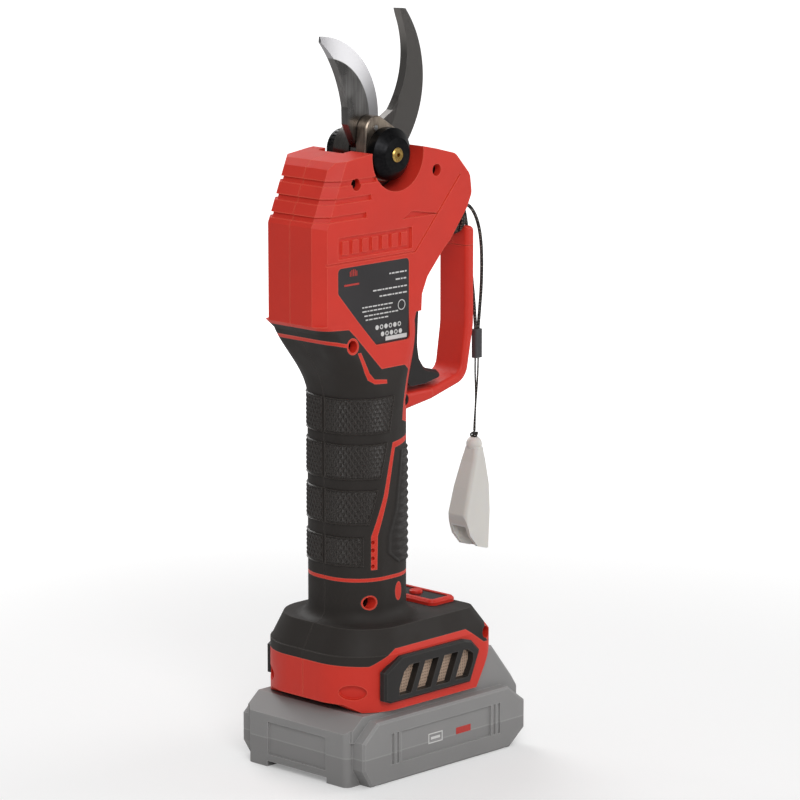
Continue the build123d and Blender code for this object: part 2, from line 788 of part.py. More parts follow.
def drive_screw():
    rod = rod_z(0, 0, screw_radius, gearbox_top_z - 6, screw_top_z)
    collar = rod_z(0, 0, 6.5, gearbox_top_z + bearing_height + 0.1, gearbox_top_z + bearing_height + 1.9)
    for index in range(9):
        z = nut_bottom_z + 1.5 + index * screw_lead / 2
        ring = rod_z(0, 0, screw_radius + 1, z, z + 0.8) - rod_z(0, 0, screw_radius - 0.5, z - 1, z + 2)
        rod -= ring
    return rod + collar


def thrust_bearing():
    ring = rod_z(0, 0, 11.0, gearbox_top_z, gearbox_top_z + bearing_height)
    return ring - rod_z(0, 0, screw_radius + running_gap, 0, 400)


def gearbox_case():
    case = rod_z(0, 0, gearbox_radius, motor_top_z, gearbox_top_z)
    flange = rod_z(0, 0, motor_radius, motor_top_z, motor_top_z + 2)
    return case + flange - rod_z(0, 0, screw_radius + running_gap, gearbox_top_z - 8, gearbox_top_z + 1)


def motor_can():
    can = rod_z(0, 0, motor_radius, motor_bottom_z, motor_top_z)
    for index in range(6):
        turn = 2 * pi * index / 6
        can -= rod_z(9.5 * cos(turn), 9.5 * sin(turn), 2.4, motor_bottom_z - 1, motor_bottom_z + 3)
    tail = rod_z(0, 0, 4.5, motor_bottom_z - 3, motor_bottom_z + 1)
    return can + tail


# ---------------------------------------------------------------- trigger
def trigger():
    face = outline(
        (34.2, 205.5), (32.4, 213.0), (28.2, 220.0), (27.6, 223.0), (21.0, 223.0), (19.9, 217.0),
        (20.5, 205.0), (22.5, 190.0), (24.4, 168.5), (27.0, 165.0), (35.8, 165.0), (44.9, 166.6),
        (46.7, 168.2), (44.7, 170.0), (37.0, 171.8), (33.8, 176.4), (32.6, 183.0), (33.2, 195.3),
    )
    face = round_corners(face, (27.0, 165.0, 2.0), (37.0, 171.8, 5.0), (32.6, 183.0, 18.0))
    body = slab(face, -trigger_half_y, trigger_half_y)
    front = body.edges().filter_by(lambda e: abs(abs(e.center().Y) - trigger_half_y) < 0.01
                                   and e.center().X > 29 and 167.5 < e.center().Z < 215)
    body = chamfer(front, 1.2)
    return body - rod_y(trigger_pin_x, trigger_pin_z, trigger_pin_radius + running_gap, -20, 20)


def trigger_pin():
    return rod_y(trigger_pin_x, trigger_pin_z, trigger_pin_radius, -13, 13)


def trigger_spring():
    coil = sweep(Plane(origin=(3.1, 0, 0), z_dir=(0, 1, 0.05)) * Circle(0.4), path=Helix(0.95, 3.6, 3.1))
    placed = Plane(origin=(trigger_pin_x, 7.3, trigger_pin_z), z_dir=(0, 1, 0), x_dir=(1, 0, 0)) * coil
    return placed


def trigger_switch():
    body = block(10.4, 15.8, -5, 5, 198.5, 210.5)
    plunger = rod_x(0, 206.5, 1.2, 15.7, 17.6)
    lugs = block(11.8, 15.8, -5, 5, 196.5, 212)
    return body + plunger + lugs


# ---------------------------------------------------------------- base contents
def control_board():
    board = block(-18, 38, -24, 24, board_z, board_z + 1.6)
    parts = block(-12, 2, -16, -4, board_z + 1.6, board_z + 6)
    parts += block(8, 20, -14, 6, board_z + 1.6, board_z + 9)
    parts += rod_z(-8, 10, 4.0, board_z + 1.6, board_z + 10)
    return board + parts


def rail_form(grow=0.0):
    """The battery's T-shaped rail, or with grow the room for it in the base."""
    neck = block(rail_back_x - grow, base_front_x - 8, -rail_half_y - grow, rail_half_y + grow,
                 battery_deck_z - 1, rail_top_z + grow)
    lip = block(rail_back_x - grow, base_front_x - 8, -rail_half_y - rail_lip - grow, rail_half_y + rail_lip + grow,
                rail_lip_z - grow, rail_top_z + grow)
    return neck + lip


def rail_way():
    """The channel under the base, open towards the front so that the battery slides off."""
    way = rail_form(moving_gap)
    front = block(base_front_x - 9, base_front_x + 9, -rail_half_y - rail_lip - moving_gap,
                  rail_half_y + rail_lip + moving_gap, rail_lip_z - moving_gap, rail_top_z + moving_gap)
    front += block(base_front_x - 9, base_front_x + 9, -rail_half_y - moving_gap, rail_half_y + moving_gap,
                   base_bottom_z - 1, rail_top_z)
    return way + front


def terminal_block():
    back = rail_back_x - 15
    body = block(back, rail_back_x - 1, -rail_half_y - 1, rail_half_y + 1, base_bottom_z + core_depth, board_z)
    return body - terminal_blades()


def terminal_blades():
    blades = [block(rail_back_x - 5, rail_back_x + 8, y - 0.4, y + 0.4, blade_low_z, rail_top_z - 0.4)
              for y in contact_places]
    return blades[0] + blades[1] + blades[2]


# ---------------------------------------------------------------- battery
def pod_outline():
    return outline((-34.5, 8.0), (-34.5, 20.5), (-25.4, 28.2), (57.9, 28.2), (68.8, 20.1), (68.8, 7.2),
                   (59.4, 0.0), (-29.6, 0.0))


def battery_form():
    core = extrude(Pos((battery_back_x + 66.0) / 2, 0) * RectangleRounded(66.0 - battery_back_x, 62, 3), amount=28)
    end_view = outline((battery_back_x - 1, -1), (battery_back_x - 1, 23.0), (-29.5, battery_deck_z),
                       (60, battery_deck_z), (80, battery_deck_z), (80, -1))
    deck = block(-36, 60, -32.5, 32.5, 20, battery_deck_z)
    pods = None
    for low in (-battery_half_y, 30.5):
        pod = slab(pod_outline(), low, low + battery_half_y - 30.5)
        face_y = low if low < 0 else battery_half_y
        rims = pod.edges().filter_by(lambda e, y=face_y: abs(e.center().Y - y) < 0.01)
        pod = chamfer(rims, 1.0)
        pods = pod if pods is None else pods + pod
    wedge = slab(outline((38.5, 20), (38.5, 27), (50.0, 47.6), (53.2, 47.0), (66.4, 30.8), (battery_front_x, 25.5),
                         (battery_front_x, 20)), -32.5, 32.5)
    upper = wedge.edges().filter_by(lambda e: e.center().Z > 29 and abs(abs(e.center().Y) - 32.5) < 0.01)
    wedge = chamfer(upper, 1.2)
    form = (core + deck + pods) & slab(end_view, -body_y, body_y)
    return form + wedge


def battery_details():
    """Cuts on the outside: end panel, foot relief, side panels with grip ribs."""
    cuts = block(battery_back_x - 1, battery_back_x + 0.8, -18, 18, 5.7, 20.5)
    cuts += block(battery_back_x - 1, -30, -18.5, 18.5, -1, 2.6)
    for side in (-1, 1):
        low, high = sorted((side * (battery_half_y - 0.7), side * (battery_half_y + 1)))
        panel = block(-17.5, 52.3, low, high, 8.0, 21.8)
        for x in (-15.6, -12.6, 46.2, 49.2):
            panel -= block(x, x + 1.5, low, high, 8.0, 21.8)
        cuts += panel
    return cuts


def cell_places():
    middle = (battery_back_x + battery_front_x) / 2
    return [middle + (index - (cell_count - 1) / 2) * cell_pitch for index in range(cell_count)]


def cell_bay():
    places = cell_places()
    width = places[-1] - places[0] + 2 * (cell_radius + 0.4)
    return Pos(places[0] / 2 + places[-1] / 2, cell_z) * RectangleRounded(width, 2 * (cell_radius + 0.4),
                                                                        cell_radius + 0.3)


def battery_hollow():
    bay = slab(cell_bay(), -cell_length / 2 - 1.0, cell_length / 2 + 1.0)
    board_bay = block(-26, 26, -14, 14, cell_z, board_bay_z)
    wedge_bay = slab(outline((44.5, 22), (44.5, battery_deck_z + 1), (51.5, 44), (58.5, 36), (58.5, 22)), -29, 29)
    return bay + board_bay + wedge_bay


def contact_slots():
    cut = None
    for y in contact_places:
        slot = block(rail_back_x - 1, rail_back_x + 10, y - 1.5, y + 1.5, blade_low_z - 2.2, rail_top_z + 1)
        cut = slot if cut is None else cut + slot
    return cut


def battery_screw_form():
    form = None
    for x in (-26.0, 56.0):
        for y in (-35.7, 35.7):
            screw = rod_z(x, y, 1.2, 1.4, 19.0) + rod_z(x, y, 1.7, 1.4, 3.0)
            form = screw if form is None else form + screw
    return form


def battery_shells():
    body = battery_form() + rail_form() - battery_details() - battery_hollow() - contact_slots()
    body -= battery_screw_form()
    for x in (-26.0, 56.0):
        for y in (-35.7, 35.7):
            body -= rod_z(x, y, 1.7, -1, 1.5)
    body -= block(release_back_x, 80, -release_half_y - moving_gap, release_half_y + moving_gap,
                  release_low_z - moving_gap, release_high_z + moving_gap)
    lower = body & block(-60, 90, -60, 60, -1, battery_split_z)
    upper = body & block(-60, 90, -60, 60, battery_split_z, 60)
    return lower, upper


def release_button():
    body = block(release_back_x + release_travel + 0.5, 80, -release_half_y, release_half_y, release_low_z,
                 release_high_z)
    slope = slab(outline((30, 27), (30, 60), (43.6, 60), (68.4, 29.8), (68.4, 27)), -50, 50)
    return body & slope


def battery_cells():
    cells = []
    for x in cell_places():
        cell = rod_y(x, cell_z, cell_radius, -cell_length / 2, cell_length / 2)
        cells.append(fillet(cell.edges(), 0.6))
    return Compound(children=cells)


def cell_straps():
    places = cell_places()
    straps = []
    for side in (-1, 1):
        low, high = sorted((side * cell_length / 2, side * (cell_length / 2 + 0.3)))
        straps.append(block(places[0] - 4, places[-1] + 4, low, high, cell_z - 3, cell_z + 3))
    return Compound(children=straps)


def cell_holder():
    holders = []
    for low in (-23.0, 20.0):
        plate = slab(cell_bay(), low, low + 3)
        for x in cell_places():
            plate -= rod_y(x, cell_z, cell_radius, low - 1, low + 4)
        holders.append(plate)
    return Compound(children=[piece for plate in holders for piece in plate.solids()])


def battery_board():
    return block(-24, 24, -13, 13, cell_z + cell_radius + 0.5, cell_z + cell_radius + 1.7)


def battery_contacts():
    clips = []
    for y in contact_places:
        clip = block(rail_back_x + 1, rail_back_x + 7, y - 1.5, y + 1.5, blade_low_z - 2.2, rail_top_z - 0.8)
        clip -= block(rail_back_x, rail_back_x + 8, y - 0.8, y + 0.8, blade_low_z - 0.5, rail_top_z)
        clips.append(clip)
    return Compound(children=clips)


# ---------------------------------------------------------------- lanyard
def cord_tube(points, diameter):
    """A tube along straight runs joined by the largest arcs that the runs allow."""
    vectors = [Vector(*p) for p in points]
    radii = []
    for before, corner, after in zip(vectors, vectors[1:], vectors[2:]):
        run = min((corner - before).length, (after - corner).length)
        turn = radians((corner - before).get_angle(after - corner))
        radii.append(0.45 * run / tan(turn / 2))
    path = FilletPolyline(*points, radius=radii)
    start = Plane(origin=points[0], z_dir=(vectors[1] - vectors[0]).normalized())
    tube = sweep(start * Circle(diameter / 2), path=path)
    print("radii", [round(r, 1) for r in radii], "length", round(path.length, 1),
          "volume ratio", round(tube.volume / (path.length * pi * diameter ** 2 / 4), 4))
    return tube


long_route = (
    (61.6, -4.7, 241.4), (64.2, -5.4, 242.3), (67.6, -5.9, 239.2), (70.3, -6.2, 234.2), (72.2, -6.3, 227.6),
    (73.2, -6.3, 218.0), (73.2, -6.1, 204.5), (72.5, -5.7, 193.8), (72.0, -5.2, 184.2),
)
short_route = (
    (59.4, -4.7, 241.4), (61.6, -3.2, 243.2), (65.2, -1.6, 241.9), (68.0, -0.6, 237.6), (69.5, -0.6, 230.4),
    (69.9, -1.4, 222.0), (69.7, -2.9, 212.4), (69.8, -4.3, 201.4), (70.1, -5.0, 192.4), (70.3, -5.4, 184.2),
)
string_a_route = (
    (70.4, -5.1, 172.3), (70.8, -4.6, 166.0), (71.7, -4.2, 158.0), (71.9, -4.1, 151.0), (71.5, -3.8, 144.0),
    (71.3, -3.6, 138.2),
)
string_b_route = (
    (71.9, -5.5, 172.3), (71.5, -5.8, 166.0), (70.6, -6.0, 158.0), (70.2, -5.6, 151.0), (70.5, -5.0, 144.0),
    (70.8, -4.6, 138.2),
)


def lanyard_wrap():
    return wrap_form() - bar_form()


def cord_slider():
    body = Pos(71.2, -5.3, 178.4) * Box(*slider_size)
    return fillet(body.edges().filter_by(Axis.Z), 0.8)


def string_knot():
    return Pos(71.1, -4.0, 136.6) * Sphere(2.0)


def cover_section(x_low, x_high, y_low, y_high, z, inset):
    width, depth = x_high - x_low - 2 * inset, y_high - y_low - 2 * inset
    plan = RectangleRounded(width, depth, 1.9 - inset)
    return Pos((x_low + x_high) / 2, (y_low + y_high) / 2, z) * plan


def cover_form(inset, bottom_z, top_z):
    sections = (
        (bottom_z, 62.4, 77.4, 3.6), (101.0, 61.2, 78.4, 3.6), (113.0, 63.8, 77.9, 2.7),
        (124.5, 67.0, 75.4, 1.2), (top_z, 68.2, 73.6, -0.4),
    )
    faces = [cover_section(x_low, x_high, -8.0, y_high, z, inset) for z, x_low, x_high, y_high in sections]
    return loft(faces, ruled=True)


def blade_cover():
    body = cover_form(0.0, 82.0, 131.0) - cover_form(cover_wall, 80.0, 127.0)
    lug = Pos(71.0, -4.0, 132.2) * Sphere(3.6)
    body += lug
    slant = slab(outline((50, 70), (50, 100.5), (61.2, 100.5), (64.6, 91.2), (69.6, 85.6), (75.0, 84.0), (90, 84.0),
                         (90, 70)), -20, 20)
    body -= slant
    return body - string_knot()


def main():
    os.makedirs("parts", exist_ok=True)
    outer, middle, core, red, grip, cover = shell_forms()
    band = guard_band()
    stubs = guard_stubs(band)
    ribs = back_ribs(outer)
    red -= ribs
    left = housing(-1, middle, core, red, stubs)
    right = housing(1, middle, core, red + (frame_rest() & middle), stubs)
    save("left_housing", left)
    save("right_housing", right)
    save("trigger_guard", trigger_guard(band))
    trim = screw_cuts() + trigger_slot()
    save("left_grip", near_side(grip) - trim - label_pocket())
    save("right_grip", far_side(grip) - trim)
    trim = bezel_pocket() + screw_cuts()
    near_cut, far_cut = vent_cut(), mirror(vent_cut(), Plane.XZ)
    save("left_base_cover", near_side(cover) - trim - near_cut)
    save("right_base_cover", far_side(cover) - trim - far_cut)
    save("left_vent_grille", vent_grille())
    save("right_vent_grille", mirror(vent_grille(), Plane.XZ))
    save("left_vent_mesh", vent_mesh())
    save("right_vent_mesh", mirror(vent_mesh(), Plane.XZ))
    save("rating_label", rating_label())
    save("housing_screws", housing_screws())
    for piece in (display_bezel, display_panel, power_button, moving_blade, fixed_blade, head_frame,
                  guide_plate, guide_pin, pivot_cap, grease_nipple, pivot_bolt, lock_washer, pivot_nut,
                  drive_nut, drive_pin, drive_screw, thrust_bearing, gearbox_case, motor_can, trigger,
                  trigger_pin, trigger_spring, trigger_switch, control_board, terminal_block,
                  release_button, battery_cells, cell_straps, cell_holder, battery_board,
                  battery_contacts, lanyard_wrap, cord_slider, string_knot, blade_cover):
        save(piece.__name__, piece())
    save("frame_screws", Compound(children=list(frame_screw_form().solids())))
    save("terminal_blades", Compound(children=list(terminal_blades().solids())))
    save("battery_screws", Compound(children=list(battery_screw_form().solids())))
    lower, upper = battery_shells()
    save("battery_case", lower)
    save("battery_top", upper)
    save("strand_long", cord_tube(long_route, cord_diameter))
    save("strand_short", cord_tube(short_route, cord_diameter))
    save("string_left", cord_tube(string_a_route, string_diameter))
    save("string_right", cord_tube(string_b_route, string_diameter))


main()
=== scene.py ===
from math import atan2, cos, pi, radians, sin, sqrt
import bpy
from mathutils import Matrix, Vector
from mathutils.bvhtree import BVHTree


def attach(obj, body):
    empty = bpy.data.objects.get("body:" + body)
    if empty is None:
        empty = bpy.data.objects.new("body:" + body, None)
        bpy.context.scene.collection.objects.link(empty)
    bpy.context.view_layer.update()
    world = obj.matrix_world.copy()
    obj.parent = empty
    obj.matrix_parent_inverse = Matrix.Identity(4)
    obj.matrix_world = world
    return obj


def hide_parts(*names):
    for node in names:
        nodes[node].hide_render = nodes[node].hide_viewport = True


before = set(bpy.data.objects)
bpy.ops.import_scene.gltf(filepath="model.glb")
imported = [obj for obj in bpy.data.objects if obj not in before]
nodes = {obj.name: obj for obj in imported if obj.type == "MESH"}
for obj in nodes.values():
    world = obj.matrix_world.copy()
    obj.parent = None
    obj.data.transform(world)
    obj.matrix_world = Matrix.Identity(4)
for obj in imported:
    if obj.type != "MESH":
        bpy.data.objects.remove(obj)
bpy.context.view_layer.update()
mm = 0.001
print("frame loaded:", len(nodes), "nodes")

# camera, floor and light
shot = {"azimuth": 46.0, "elevation": 11.3, "distance": 1.747, "lens": 180.0, "target": (0.0131, -0.0136, 0.1619)}
light = {
    "key": {"at": (-0.75, -1.05, 1.05), "size": 0.9, "power": 9.6},
    "side": {"at": (1.15, -0.55, 0.55), "size": 0.8, "power": 4.2},
    "back": {"at": (0.35, 1.1, 0.9), "size": 0.9, "power": 7.0},
    "top": {"at": (0.0, 0.0, 1.5), "size": 1.3, "power": 4.0},
    "sky": 0.24, "backdrop": 1.0,
}


def makeCamera():
    a, e = radians(shot["azimuth"]), radians(shot["elevation"])
    back = Vector((-sin(a) * cos(e), -cos(a) * cos(e), sin(e)))
    data = bpy.data.cameras.new("camera")
    data.lens = shot["lens"]
    data.sensor_width = 36.0
    data.clip_end = 50.0
    camera = bpy.data.objects.new("camera", data)
    camera.location = Vector(shot["target"]) + back * shot["distance"]
    camera.rotation_euler = back.to_track_quat("Z", "Y").to_euler()
    bpy.context.collection.objects.link(camera)
    bpy.context.scene.camera = camera


def makeLights():
    aim = Vector(shot["target"])
    for name in ("key", "side", "back", "top"):
        lamp = light[name]
        data = bpy.data.lights.new(name, "AREA")
        data.shape = "DISK"
        data.size = lamp["size"]
        data.energy = lamp["power"]
        obj = bpy.data.objects.new(name, data)
        obj.location = lamp["at"]
        obj.rotation_euler = (Vector(lamp["at"]) - aim).to_track_quat("Z", "Y").to_euler()
        bpy.context.collection.objects.link(obj)
    world = bpy.data.worlds.new("studio")
    bpy.context.scene.world = world
    world.use_nodes = True
    tree = world.node_tree
    shade = tree.nodes["Background"]
    seen = tree.nodes.new("ShaderNodeLightPath").outputs["Is Camera Ray"]
    strength = ramp(tree, seen, 0.0, 1.0, light["sky"], light["backdrop"])
    shade.inputs["Color"].default_value = (1.0, 1.0, 1.0, 1.0)
    tree.links.new(strength, shade.inputs["Strength"])
    bpy.context.scene.view_settings.view_transform = "Standard"
    bpy.context.scene.view_settings.look = "None"


def meshObject(name, verts, faces, material, smooth=True):
    data = bpy.data.meshes.new(name)
    data.from_pydata([tuple(v) for v in verts], [], faces)
    data.validate()
    data.polygons.foreach_set("use_smooth", [smooth] * len(data.polygons))
    data.materials.append(material)
    obj = bpy.data.objects.new(name, data)
    bpy.context.collection.objects.link(obj)
    return obj


# shader nodes
def addNode(tree, kind, **values):
    node = tree.nodes.new(kind)
    for key, value in values.items():
        setattr(node, key, value)
    return node


def feed(tree, node, **inputs):
    for key, value in inputs.items():
        byNumber = key[0] == "i" and key[1:].isdigit()
        socket = node.inputs[int(key[1:]) if byNumber else key.replace("_", " ")]
        if isinstance(value, bpy.types.NodeSocket):
            tree.links.new(value, socket)
        else:
            socket.default_value = value
    return node


def mathNode(tree, operation, a, b=0.0):
    return feed(tree, addNode(tree, "ShaderNodeMath", operation=operation), i0=a, i1=b).outputs[0]


def ramp(tree, value, low, high, start=0.0, end=1.0):
    node = addNode(tree, "ShaderNodeMapRange", interpolation_type="SMOOTHSTEP")
    feed(tree, node, i0=value, i1=low, i2=high, i3=start, i4=end)
    return node.outputs[0]


def mixColor(tree, factor, a, b):
    node = addNode(tree, "ShaderNodeMix", data_type="RGBA")
    feed(tree, node, i0=factor, i6=a, i7=b)
    return node.outputs[2]


def newGroup(name, inputs, outputs):
    tree = bpy.data.node_groups.new(name, "ShaderNodeTree")
    for label, value in inputs.items():
        tree.interface.new_socket(label, in_out="INPUT", socket_type="NodeSocketFloat").default_value = value
    for label in outputs:
        tree.interface.new_socket(label, in_out="OUTPUT", socket_type="NodeSocketFloat")
    return tree, tree.nodes.new("NodeGroupInput").outputs, tree.nodes.new("NodeGroupOutput").inputs


def sparkGroup():
    # fine spark-eroded skin with a slow unevenness under it
    tree, given, result = newGroup("sparkSkin", {"Scale": 1.0}, ("Height", "Mottle"))
    place = addNode(tree, "ShaderNodeTexCoord").outputs["Object"]
    fine = feed(tree, addNode(tree, "ShaderNodeTexNoise"), Vector=place, Detail=3.0, Roughness=0.6,
                Scale=mathNode(tree, "MULTIPLY", given["Scale"], 2600.0))
    slow = feed(tree, addNode(tree, "ShaderNodeTexNoise"), Vector=place, Detail=2.0, Roughness=0.5,
                Scale=mathNode(tree, "MULTIPLY", given["Scale"], 55.0))
    tree.links.new(fine.outputs[0], result["Height"])
    tree.links.new(slow.outputs[0], result["Mottle"])
    return tree


def edgeGroup():
    # where a moulded edge is painted lighter: a painted highlight on every edge, found with the bevel normal
    tree, given, result = newGroup("paintedEdgeHighlight", {"Low": 0.02, "High": 0.16}, ("Mask",))
    bevel = feed(tree, addNode(tree, "ShaderNodeBevel", samples=4), Radius=0.0007)
    normal = addNode(tree, "ShaderNodeNewGeometry").outputs["Normal"]
    dot = feed(tree, addNode(tree, "ShaderNodeVectorMath", operation="DOT_PRODUCT"), i0=bevel.outputs[0], i1=normal)
    gap = mathNode(tree, "SUBTRACT", 1.0, dot.outputs["Value"])
    node = addNode(tree, "ShaderNodeMapRange")
    feed(tree, node, i0=gap, i1=given["Low"], i2=given["High"])
    tree.links.new(node.outputs[0], result["Mask"])
    return tree


def grindGroup():
    # long fine scratches along one direction, and clouding from handling
    tree, given, result = newGroup("grinding", {"Along": 30.0, "Across": 2600.0}, ("Height", "Streak", "Cloud"))
    place = addNode(tree, "ShaderNodeTexCoord").outputs["Object"]
    joined = feed(tree, addNode(tree, "ShaderNodeCombineXYZ"), X=given["Across"], Y=given["Across"], Z=given["Along"])
    scaled = feed(tree, addNode(tree, "ShaderNodeVectorMath", operation="MULTIPLY"), i0=place, i1=joined.outputs[0])
    streak = feed(tree, addNode(tree, "ShaderNodeTexNoise"), Vector=scaled.outputs[0], Scale=1.0, Detail=2.0)
    cloud = feed(tree, addNode(tree, "ShaderNodeTexNoise"), Vector=place, Scale=90.0, Detail=4.0)
    tree.links.new(streak.outputs[0], result["Height"])
    tree.links.new(streak.outputs[0], result["Streak"])
    tree.links.new(cloud.outputs[0], result["Cloud"])
    return tree


def braidGroup():
    # two crossing sets of strands, seen as small lozenges
    tree, given, result = newGroup("braid", {"Pitch": 900.0}, ("Height", "Fleck"))
    place = addNode(tree, "ShaderNodeTexCoord").outputs["Object"]
    waves = []
    for lean in (1.0, -1.0):
        turned = feed(tree, addNode(tree, "ShaderNodeVectorMath", operation="DOT_PRODUCT"), i0=place,
                      i1=(lean * 0.8, lean * 0.8, 1.0))
        phase = mathNode(tree, "MULTIPLY", turned.outputs["Value"], given["Pitch"])
        waves.append(mathNode(tree, "SINE", mathNode(tree, "MULTIPLY", phase, 2 * pi)))
    height = mathNode(tree, "MAXIMUM", waves[0], waves[1])
    noise = feed(tree, addNode(tree, "ShaderNodeTexNoise"), Vector=place, Scale=1700.0, Detail=1.0)
    tree.links.new(height, result["Height"])
    tree.links.new(ramp(tree, mathNode(tree, "MULTIPLY", noise.outputs[0], height), 0.46, 0.6), result["Fleck"])
    return tree


def weaveGroup():
    # square woven wire on the XZ plane
    tree, given, result = newGroup("wireWeave", {"Pitch": 900.0}, ("Height", "HoleShade"))
    place = addNode(tree, "ShaderNodeTexCoord").outputs["Object"]
    split = feed(tree, addNode(tree, "ShaderNodeSeparateXYZ"), Vector=place)
    wires = []
    for axis in ("X", "Z"):
        phase = mathNode(tree, "MULTIPLY", split.outputs[axis], given["Pitch"])
        wires.append(mathNode(tree, "ABSOLUTE", mathNode(tree, "SINE", mathNode(tree, "MULTIPLY", phase, pi))))
    height = mathNode(tree, "MAXIMUM", wires[0], wires[1])
    tree.links.new(height, result["Height"])
    # the holes between the wires, which get painted shade
    tree.links.new(ramp(tree, height, 0.45, 0.75, 1.0, 0.0), result["HoleShade"])
    return tree


effects = {}


def effect(tree, name, **inputs):
    makers = {"spark": sparkGroup, "edge": edgeGroup, "grind": grindGroup, "braid": braidGroup, "weave": weaveGroup,
              "zone": zoneGroup}
    if name not in effects:
        effects[name] = makers[name]()
    node = addNode(tree, "ShaderNodeGroup", node_tree=effects[name])
    feed(tree, node, **inputs)
    return node.outputs


def newMaterial(name, **settings):
    material = bpy.data.materials.new(name)
    material.use_nodes = True
    tree = material.node_tree
    shader = tree.nodes["Principled BSDF"]
    feed(tree, shader, **settings)
    return material, tree, shader


def bump(tree, shader, height, strength, distance):
    node = feed(tree, addNode(tree, "ShaderNodeBump"), Height=height, Strength=strength, Distance=distance)
    tree.links.new(node.outputs[0], shader.inputs["Normal"])


# finishes: colour, lighter colour painted on every edge as a painted highlight, roughness, grain depth
plasticFinish = {
    "redPlastic": {"color": (0.80, 0.040, 0.022), "edge": (0.93, 0.15, 0.09),
                   "rough": 0.5, "grain": 0.35, "scale": 1.0},
    "redSmooth": {"color": (0.82, 0.036, 0.022), "edge": (0.93, 0.16, 0.11),
                  "rough": 0.33, "grain": 0.12, "scale": 1.0},
    "gripRubber": {"color": (0.027, 0.022, 0.019), "edge": (0.085, 0.075, 0.068),
                   "rough": 0.66, "grain": 0.3, "scale": 1.4},
    "gripKnurl": {"color": (0.022, 0.018, 0.016), "edge": (0.10, 0.088, 0.08),
                  "rough": 0.4, "grain": 0.15, "scale": 1.4},
    "gripRibs": {"color": (0.024, 0.020, 0.018), "edge": (0.085, 0.075, 0.07),
                 "rough": 0.55, "grain": 0.2, "scale": 1.4},
    "ventBlack": {"color": (0.018, 0.016, 0.015), "edge": (0.09, 0.085, 0.08),
                  "rough": 0.42, "grain": 0.2, "scale": 1.0},
    "batteryGrey": {"color": (0.30, 0.295, 0.292), "edge": (0.46, 0.455, 0.45),
                    "rough": 0.5, "grain": 0.25, "scale": 1.0},
    "batteryLight": {"color": (0.335, 0.33, 0.327), "edge": (0.50, 0.495, 0.49),
                     "rough": 0.48, "grain": 0.25, "scale": 1.0},
    "innerBlack": {"color": (0.014, 0.012, 0.012), "edge": (0.07, 0.066, 0.064),
                   "rough": 0.4, "grain": 0.2, "scale": 1.0},
    "labelFilm": {"color": (0.036, 0.033, 0.035), "edge": (0.08, 0.075, 0.078),
                  "rough": 0.34, "grain": 0.1, "scale": 1.0},
    "displayBlack": {"color": (0.012, 0.012, 0.013), "edge": (0.03, 0.03, 0.03),
                     "rough": 0.16, "grain": 0.03, "scale": 1.0},
    "sliderGrey": {"color": (0.07, 0.068, 0.072), "edge": (0.15, 0.146, 0.15),
                   "rough": 0.55, "grain": 0.3, "scale": 1.2},
    "boardGreen": {"color": (0.02, 0.12, 0.05), "edge": (0.05, 0.2, 0.1),
                   "rough": 0.4, "grain": 0.1, "scale": 1.0},
    "cellWrap": {"color": (0.07, 0.2, 0.34), "edge": (0.14, 0.3, 0.45),
                 "rough": 0.3, "grain": 0.05, "scale": 1.0},
    "labelInk": {"color": (0.80, 0.79, 0.78), "edge": (0.80, 0.79, 0.78),
                 "rough": 0.4, "grain": 0.05, "scale": 1.0},
    "labelRed": {"color": (0.62, 0.05, 0.04), "edge": (0.62, 0.05, 0.04),
                 "rough": 0.4, "grain": 0.05, "scale": 1.0},
}
metalFinish = {
    "bladeSteel": {"color": (0.22, 0.215, 0.21), "dark": (0.15, 0.145, 0.14),
                   "rough": 0.3, "along": 60.0, "across": 1500.0},
    "groundEdge": {"color": (0.82, 0.82, 0.83), "dark": (0.62, 0.62, 0.64),
                   "rough": 0.2, "along": 60.0, "across": 2500.0},
    "hookSteel": {"color": (0.17, 0.16, 0.152), "dark": (0.115, 0.108, 0.102),
                  "rough": 0.3, "along": 50.0, "across": 1400.0},
    "guideBronze": {"color": (0.42, 0.35, 0.28), "dark": (0.22, 0.18, 0.15),
                    "rough": 0.33, "along": 200.0, "across": 1200.0},
    "pinSteel": {"color": (0.52, 0.52, 0.52), "dark": (0.32, 0.32, 0.32),
                 "rough": 0.3, "along": 900.0, "across": 900.0},
    "blackSteel": {"color": (0.05, 0.048, 0.048), "dark": (0.02, 0.02, 0.02),
                   "rough": 0.36, "along": 900.0, "across": 900.0},
    "capBlack": {"color": (0.018, 0.018, 0.019), "dark": (0.010, 0.010, 0.011),
                 "rough": 0.34, "along": 700.0, "across": 700.0},
    "brass": {"color": (0.66, 0.44, 0.13), "dark": (0.42, 0.26, 0.07),
              "rough": 0.24, "along": 900.0, "across": 900.0},
    "driveSteel": {"color": (0.40, 0.40, 0.41), "dark": (0.24, 0.24, 0.25),
                   "rough": 0.34, "along": 400.0, "across": 900.0},
    "copper": {"color": (0.72, 0.42, 0.26), "dark": (0.5, 0.28, 0.16),
               "rough": 0.3, "along": 400.0, "across": 900.0},
}


def plasticMaterial(name):
    look = plasticFinish[name]
    material, tree, shader = newMaterial(name, IOR=1.5, Specular_IOR_Level=0.38)
    skin = effect(tree, "spark", Scale=look["scale"])
    edge = effect(tree, "edge")
    shade = [c * 0.86 for c in look["color"]]
    base = mixColor(tree, skin["Mottle"], (*shade, 1.0), (*look["color"], 1.0))
    # painted highlight: every edge is mixed towards the lighter edge colour
    edgeHighlighted = mixColor(tree, mathNode(tree, "MULTIPLY", edge["Mask"], 0.75), base, (*look["edge"], 1.0))
    tree.links.new(edgeHighlighted, shader.inputs["Base Color"])
    rough = look["rough"]
    tree.links.new(ramp(tree, skin["Mottle"], 0.3, 0.7, rough - 0.04, rough + 0.06), shader.inputs["Roughness"])
    bump(tree, shader, skin["Height"], look["grain"], 0.0001)
    return material


